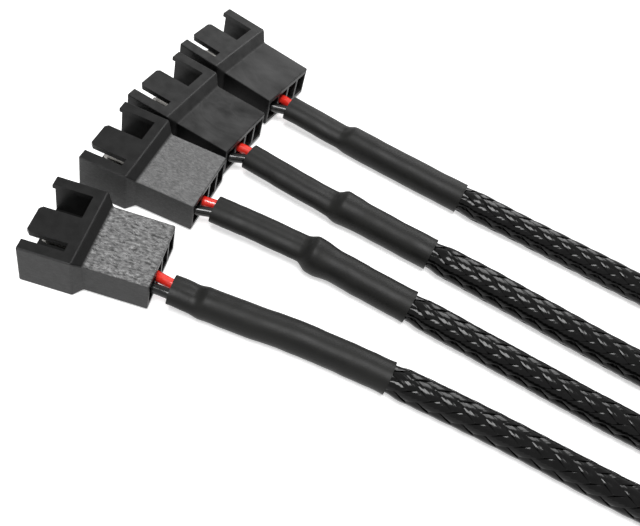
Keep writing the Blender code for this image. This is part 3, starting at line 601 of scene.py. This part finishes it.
def rear_top_group():
    """In the connector's own axes: where its rear top and its long sides are, and pale marks."""
    group = bpy.data.node_groups.new("rear_top", "ShaderNodeTree")
    for socket in ("Connector Place", "Connector Turn", "Mark Size"):
        group.interface.new_socket(socket, in_out="INPUT", socket_type="NodeSocketVector")
    group.interface.new_socket("Blur", in_out="INPUT", socket_type="NodeSocketFloat")
    for socket in ("Top", "Side", "Marks"):
        group.interface.new_socket(socket, in_out="OUTPUT", socket_type="NodeSocketFloat")
    nodes, links = group.nodes, group.links
    given = nodes.new("NodeGroupInput")
    handed = nodes.new("NodeGroupOutput")
    place = nodes.new("ShaderNodeTexCoord")
    own = nodes.new("ShaderNodeMapping")
    own.vector_type = "TEXTURE"
    links.new(place.outputs["Object"], own.inputs["Vector"])
    links.new(given.outputs["Connector Place"], own.inputs["Location"])
    links.new(given.outputs["Connector Turn"], own.inputs["Rotation"])
    axes = nodes.new("ShaderNodeSeparateXYZ")
    links.new(own.outputs["Vector"], axes.inputs["Vector"])
    behind = spread(nodes, links, axes.outputs["X"], REAR_FRONT - REAR_FRONT_BLEND,
                    REAR_FRONT + REAR_FRONT_BLEND, 0, 1)
    above = spread(nodes, links, axes.outputs["Z"], REAR_TOP - REAR_TOP_BLEND[0],
                   REAR_TOP - REAR_TOP_BLEND[1], 0, 1)
    both = nodes.new("ShaderNodeMath")
    both.operation = "MULTIPLY"
    links.new(behind, both.inputs[0])
    links.new(above, both.inputs[1])
    links.new(both.outputs[0], handed.inputs["Top"])
    side_axis = nodes.new("ShaderNodeVectorRotate")
    side_axis.rotation_type = "EULER_XYZ"
    side_axis.inputs["Vector"].default_value = (0.0, 1.0, 0.0)
    links.new(given.outputs["Connector Turn"], side_axis.inputs["Rotation"])
    facing = nodes.new("ShaderNodeVectorMath")
    facing.operation = "DOT_PRODUCT"
    links.new(place.outputs["Normal"], facing.inputs[0])
    links.new(side_axis.outputs["Vector"], facing.inputs[1])
    outward = nodes.new("ShaderNodeMath")
    outward.operation = "MULTIPLY"
    links.new(facing.outputs["Value"], outward.inputs[0])
    links.new(axes.outputs["Y"], outward.inputs[1])
    links.new(spread(nodes, links, outward.outputs[0],
                     *(share * REAR_HALF_WIDTH for share in SIDE_FACE_RANGE), 0, 1),
              handed.inputs["Side"])
    sized = nodes.new("ShaderNodeVectorMath")
    sized.operation = "MULTIPLY"
    links.new(own.outputs["Vector"], sized.inputs[0])
    links.new(given.outputs["Mark Size"], sized.inputs[1])
    noise = nodes.new("ShaderNodeTexNoise")
    noise.inputs["Scale"].default_value = 1.0
    noise.inputs["Detail"].default_value = 3.0
    noise.inputs["Distortion"].default_value = FLOW_LINE_DISTORTION
    links.new(sized.outputs["Vector"], noise.inputs["Vector"])
    off_middle = nodes.new("ShaderNodeMath")
    off_middle.operation = "SUBTRACT"
    off_middle.inputs[1].default_value = 0.5
    links.new(noise.outputs["Fac"], off_middle.inputs[0])
    fold = nodes.new("ShaderNodeMath")
    fold.operation = "ABSOLUTE"
    links.new(off_middle.outputs[0], fold.inputs[0])
    reach = nodes.new("ShaderNodeMath")
    reach.operation = "MULTIPLY"
    reach.inputs[1].default_value = FLOW_LINE_REACH
    links.new(given.outputs["Blur"], reach.inputs[0])
    lines = nodes.new("ShaderNodeMapRange")
    links.new(fold.outputs[0], lines.inputs["Value"])
    links.new(reach.outputs[0], lines.inputs["From Max"])
    lines.inputs["To Min"].default_value = 1.0
    lines.inputs["To Max"].default_value = 0.0
    cloud = nodes.new("ShaderNodeTexNoise")
    cloud.inputs["Scale"].default_value = CLOUD_SCALE
    cloud.inputs["Detail"].default_value = 4.0
    links.new(sized.outputs["Vector"], cloud.inputs["Vector"])
    clouds = spread(nodes, links, cloud.outputs["Fac"], *CLOUD_RANGE, 0, 1)
    marks = nodes.new("ShaderNodeMix")
    marks.inputs["Factor"].default_value = CLOUD_SHARE
    links.new(lines.outputs["Result"], marks.inputs["A"])
    links.new(clouds, marks.inputs["B"])
    links.new(marks.outputs["Result"], handed.inputs["Marks"])
    return group


REAR_TOP_MARKS = rear_top_group()


def grey_pair(tone, shares):
    """The darkest and the lightest grey of a surface, as shares of its tone."""
    return [(tone * share,) * 3 for share in shares]


def housing_nylon_with_painted_light(number, leg, top):
    """Black nylon for one housing: pale marks on its rear top, its tones painted light and shade.
    """
    dark, light = grey_pair(top["socket"], SOCKET_TONE_RANGE)
    material = add_grain(
        plain_finish(f"black_nylon_painted_light_{number}", (0.02, 0.02, 0.02), 0.4, specular=0.15),
        grain_scale=5000, mottle_scale=700, depth=0.000010,
        dark=dark, light=light, smooth=0.34, rough=0.46)
    nodes, links = material.node_tree.nodes, material.node_tree.links
    shader = nodes["Principled BSDF"]
    rear = nodes.new("ShaderNodeGroup")
    rear.node_tree = REAR_TOP_MARKS
    rear.inputs["Connector Place"].default_value = (*leg["place"], 0.0)
    rear.inputs["Connector Turn"].default_value = (0.0, 0.0, math.radians(leg["turn"]))
    rear.inputs["Mark Size"].default_value = (top["long"], top["wide"], top["wide"])
    rear.inputs["Blur"].default_value = top["blur"]
    # Painted light and shade: the rear top's tones and the long sides' tones are set per housing
    # for how light falls on it, the sides of housings 1 and 2 darkened as painted shade.
    pale = tones(nodes, links, rear.outputs["Marks"], 0.0, 1.0, (top["dark"],) * 3,
                 (top["light"],) * 3)
    side_tone_and_painted_shade = tones(nodes, links, rear.outputs["Marks"], 0.0, 1.0,
                  *grey_pair(top["side"], SIDE_TONE_RANGE))
    for mask, tone in (("Side", side_tone_and_painted_shade), ("Top", pale)):
        colour = nodes.new("ShaderNodeMix")
        colour.data_type = "RGBA"
        links.new(rear.outputs[mask], colour.inputs["Factor"])
        links.new(shader.inputs["Base Color"].links[0].from_socket, colour.inputs["A"])
        links.new(tone, colour.inputs["B"])
        links.new(colour.outputs["Result"], shader.inputs["Base Color"])
    rough = nodes.new("ShaderNodeMix")
    links.new(rear.outputs["Top"], rough.inputs["Factor"])
    links.new(shader.inputs["Roughness"].links[0].from_socket, rough.inputs["A"])
    rough.inputs["B"].default_value = REAR_TOP_ROUGHNESS
    links.new(rough.outputs["Result"], shader.inputs["Roughness"])
    raised = nodes.new("ShaderNodeMath")
    raised.operation = "MULTIPLY"
    links.new(rear.outputs["Top"], raised.inputs[0])
    links.new(rear.outputs["Marks"], raised.inputs[1])
    relief = nodes.new("ShaderNodeBump")
    relief.inputs["Distance"].default_value = REAR_TOP_RELIEF
    links.new(raised.outputs[0], relief.inputs["Height"])
    links.new(shader.inputs["Normal"].links[0].from_socket, relief.inputs["Normal"])
    links.new(relief.outputs["Normal"], shader.inputs["Normal"])
    return material


for number, (leg, top) in enumerate(zip(LEGS, HOUSING_MARKS_AND_PAINTED_LIGHT), start=1):
    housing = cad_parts[f"fan_connector_housing_{number}"]
    housing.data.materials.clear()
    housing.data.materials.append(housing_nylon_with_painted_light(number, leg, top))


# Joint
# Where the legs meet, a wide boot of black polyolefin heat-shrink grips the four sleeves' ends
# side by side and draws in to a neck over the two input wires. It has sunk a little into the
# hollows between the sleeves, and gathered where it draws in.
JOINT_WIDTH = 0.0189
JOINT_GRIP_LENGTH = 0.0110
JOINT_TAPER_LENGTH = 0.0080
JOINT_NECK_LENGTH = 0.0050
JOINT_LENGTH = JOINT_GRIP_LENGTH + JOINT_TAPER_LENGTH + JOINT_NECK_LENGTH
JOINT_WALL = 0.0004
NECK_HEIGHT = 0.0028
NECK_WIDTH = 0.0051
JOINT_SIDES = 160
JOINT_RINGS = 81
JOINT_HOLLOW = 0.0005
NECK_HOLLOW = 0.0001
JOINT_CREASE = 0.000025
JOINT_GATHERS = 0.00010
GATHERS_PAST_TAPER = 0.001
GATHERS_FULL_AFTER = 0.004
GATHERS_A_SLEEVE = 3.5
GATHERS_SHIFT = 0.8

stations = np.linspace(0.0, JOINT_LENGTH, JOINT_RINGS)
taper_end = JOINT_GRIP_LENGTH + JOINT_TAPER_LENGTH
widths = eased(stations, ((0.0, JOINT_WIDTH), (JOINT_GRIP_LENGTH, JOINT_WIDTH),
                          (taper_end, NECK_WIDTH), (JOINT_LENGTH, NECK_WIDTH)))
heights = eased(stations, ((0.0, JOINT_HEIGHT), (JOINT_GRIP_LENGTH, JOINT_HEIGHT),
                           (taper_end, NECK_HEIGHT), (JOINT_LENGTH, NECK_HEIGHT)))
boot = extruded_skin("joint_heat_shrink_skin", stations, widths, heights, JOINT_SIDES)
places = mesh_places(boot)
width = np.interp(places[:, 0], stations, widths)
height = np.interp(places[:, 0], stations, heights)
past_flat = np.clip(np.abs(places[:, 1]) - (width - height) / 2, 0.0, height / 2)
hollow_depth = eased(places[:, 0], ((0.0, JOINT_HOLLOW), (JOINT_GRIP_LENGTH, JOINT_HOLLOW),
                                    (taper_end, NECK_HOLLOW), (JOINT_LENGTH, NECK_HOLLOW)))
strand = (np.clip(2 * places[:, 1] / np.maximum(width - height, 1e-6), -1.0, 1.0)
          * (len(LEGS) - 1) / 2)
hollows = hollow_depth * (1 + np.cos(2 * math.pi * strand)) / 2
gathered = eased(places[:, 0], ((0.0, 0.0), (JOINT_GRIP_LENGTH - GATHERS_PAST_TAPER, 0.0),
                                (JOINT_GRIP_LENGTH + GATHERS_FULL_AFTER, 1.0),
                                (taper_end + GATHERS_PAST_TAPER, 0.0), (JOINT_LENGTH, 0.0)))
gathers = (JOINT_GATHERS * gathered
           * np.cos(2 * math.pi * strand * GATHERS_A_SLEEVE + GATHERS_SHIFT))
half = np.sqrt(np.maximum((height / 2) ** 2 - past_flat ** 2, 0.0))
places[:, 2] = np.sign(places[:, 2]) * np.where(past_flat > 0.0, half, half - hollows + gathers)
places[:, 2] += JOINT_CREASE * creases(places, seed=5)
set_places(boot, places)
give_wall(boot, JOINT_WALL)
set_places(boot, mesh_places(boot) + np.array((*JOINT_PLACE, JOINT_HEIGHT / 2)))
boot.data.materials.append(SHRINK_BLACK)
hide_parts("joint_heat_shrink")
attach(boot, "root")


# Input wires
# Two thicker stranded copper wires in PVC, black and red. They leave the joint's neck side by
# side, spread to the plug's wider pitch and end crimped in its pins.
INPUT_WIRE_DIAMETER = 0.0020
INPUT_WIRE_SPACING = INPUT_WIRE_DIAMETER + FIT_GAP
INPUT_WIRE_IN_NECK = 0.0040
INPUT_WIRE_STRAIGHT = 0.0030
NECK_END = JOINT_PLACE.x + JOINT_LENGTH
PLUG_REAR = 0.2133
PLUG_MIDDLE = 0.0051
PLUG_PITCH = 0.00508
PLUG_BARREL_START = 0.2178

for colour, cavity, side, finish in (("black", 0, -1, BLACK_PVC), ("red", 1, 1, RED_PVC)):
    neck_y = JOINT_PLACE.y + side * INPUT_WIRE_SPACING / 2
    plug_y = JOINT_PLACE.y + (cavity - CAVITY_ROW_MIDDLE) * PLUG_PITCH
    route = [Vector((NECK_END - INPUT_WIRE_IN_NECK, neck_y, JOINT_HEIGHT / 2)),
             Vector((NECK_END + INPUT_WIRE_STRAIGHT, neck_y, JOINT_HEIGHT / 2)),
             Vector((PLUG_REAR - INPUT_WIRE_STRAIGHT, plug_y, PLUG_MIDDLE)),
             Vector((PLUG_REAR, plug_y, PLUG_MIDDLE)),
             Vector((PLUG_BARREL_START - FIT_GAP, plug_y, PLUG_MIDDLE))]
    wire = insulated_wire(f"{colour}_input_wire_insulation", smooth_line(route),
                          INPUT_WIRE_DIAMETER)
    wire.data.materials.append(finish)
    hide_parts(f"{colour}_input_wire")
    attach(wire, "root")


# Power plug
# Moulded black nylon housing with a keyed socket, open at the front, and two turned and tinned
# pins with crimp barrels, pushed into the ground and the supply hole from behind.
CORD_POINT_SPACING = 0.002
PLUG_NYLON = add_grain(
    plain_finish("black_plug_nylon", (0.02, 0.02, 0.02), 0.42, specular=0.3),
    grain_scale=3500, mottle_scale=500, depth=0.000015,
    dark=(0.014, 0.014, 0.014), light=(0.028, 0.028, 0.027), smooth=0.36, rough=0.50)
for name, finish, slot in (("power_plug_housing", PLUG_NYLON, "plug_plastic"),
                           ("power_plug_ground_pin", TINNED_WITH_PAINTED_SHADE, "contact_metal"),
                           ("power_plug_supply_pin", TINNED_WITH_PAINTED_SHADE, "contact_metal")):
    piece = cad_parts[name]
    piece.data.materials.clear()
    piece.data.materials.append(finish)

# The plug is on the far end of leg 1's cord. Points along each leg, from the sleeve's start,
# are worked out here and not used.
for number, (leg, sleeve, line) in enumerate(zip(LEGS, sleeves, leg_lines), start=1):
    stops = np.arange(TUBE_LENGTH - SLEEVE_GRIPPED, line[0][-1], CORD_POINT_SPACING)
    leaves = on_leg(line, np.array([TUBE_LENGTH]), 0.0, 0.0)[0]
    on_leg(line, stops, 0.0, 0.0).tolist()


# Table, light and camera
# A plain pale table under one soft lamp overhead, a little to the near side, and a long one high
# behind it, seen from above the near side as in the photograph.
PHOTO_WIDTH = 640
FOCAL_PIXELS = 851.0
SENSOR_WIDTH = 36.0
CAMERA_PLACE = (0.0218, -0.0787, 0.09546)
CAMERA_YAW = 9.0
CAMERA_DOWN = 51.898
CAMERA_ROLL = 19.366
LAMP_AIM = Vector((0.03, -0.005, 0.0))
TABLE_RADIUS = 0.6
TABLE_PLACE = (0.1, 0.0, -0.00003)
TABLE_SIDES = 128
ROOM_LIGHT = 0.12
TABLE_GLOW = 0.55


def seen_directly(tree):
    """1 where the camera or a reflection looks, 0 for the light that falls on the object."""
    nodes, links = tree.nodes, tree.links
    seen = nodes.new("ShaderNodeLightPath")
    result = seen.outputs["Is Camera Ray"]
    for ray in ("Is Glossy Ray", "Is Transmission Ray"):
        either = nodes.new("ShaderNodeMath")
        either.operation = "MAXIMUM"
        links.new(result, either.inputs[0])
        links.new(seen.outputs[ray], either.inputs[1])
        result = either.outputs[0]
    return result


bpy.ops.object.select_all(action="DESELECT")
bpy.ops.mesh.primitive_circle_add(vertices=TABLE_SIDES, radius=TABLE_RADIUS, fill_type="NGON",
                                  location=TABLE_PLACE)
table = bpy.context.active_object
table.name = "table"
white = plain_finish("pale_table", (0.80, 0.80, 0.80), 0.9, specular=0.0)
shader = white.node_tree.nodes["Principled BSDF"]
shader.inputs["Emission Color"].default_value = (1.0, 1.0, 1.0, 1.0)
white.node_tree.links.new(spread(white.node_tree.nodes, white.node_tree.links,
                                 seen_directly(white.node_tree), 0.0, 1.0, 0.0, TABLE_GLOW),
                          shader.inputs["Emission Strength"])
table.data.materials.append(white)

studio = bpy.data.worlds.new("studio")
bpy.context.scene.world = studio
studio.use_nodes = True
background = studio.node_tree.nodes["Background"]
background.inputs["Color"].default_value = (1.0, 1.0, 1.0, 1.0)
studio.node_tree.links.new(spread(studio.node_tree.nodes, studio.node_tree.links,
                                  seen_directly(studio.node_tree), 0.0, 1.0, ROOM_LIGHT, 1.0),
                           background.inputs["Strength"])


def soft_lamp(name, direction, distance, width, depth, radiance):
    """An area lamp so far from the object in a direction, of one brightness all over."""
    lamp = bpy.data.lights.new(name, "AREA")
    lamp.shape = "ELLIPSE"
    lamp.size = width
    lamp.size_y = depth
    lamp.energy = radiance * math.pi * math.pi * width * depth / 4
    holder = bpy.data.objects.new(name, lamp)
    bpy.context.scene.collection.objects.link(holder)
    holder.location = LAMP_AIM + Vector(direction).normalized() * distance
    holder.rotation_euler = Vector(direction).to_track_quat("Z", "Y").to_euler()


soft_lamp("overhead_lamp", (0.0, -0.32, 1.0), distance=0.8, width=0.28, depth=0.38,
          radiance=23.5)
soft_lamp("rear_lamp", (0.0, 0.87, 0.82), distance=1.0, width=0.26, depth=0.80, radiance=9.0)

camera = bpy.data.objects.new("camera", bpy.data.cameras.new("camera"))
bpy.context.scene.collection.objects.link(camera)
camera.data.sensor_width = SENSOR_WIDTH
camera.data.lens = FOCAL_PIXELS / PHOTO_WIDTH * SENSOR_WIDTH
camera.data.clip_start = 0.005
camera.data.clip_end = 10.0
camera.matrix_world = (Matrix.Translation(CAMERA_PLACE)
                       @ Matrix.Rotation(math.radians(CAMERA_YAW), 4, "Z")
                       @ Matrix.Rotation(math.radians(90 - CAMERA_DOWN), 4, "X")
                       @ Matrix.Rotation(math.radians(CAMERA_ROLL), 4, "Z"))
bpy.context.scene.camera = camera
bpy.context.scene.view_settings.view_transform = "Standard"
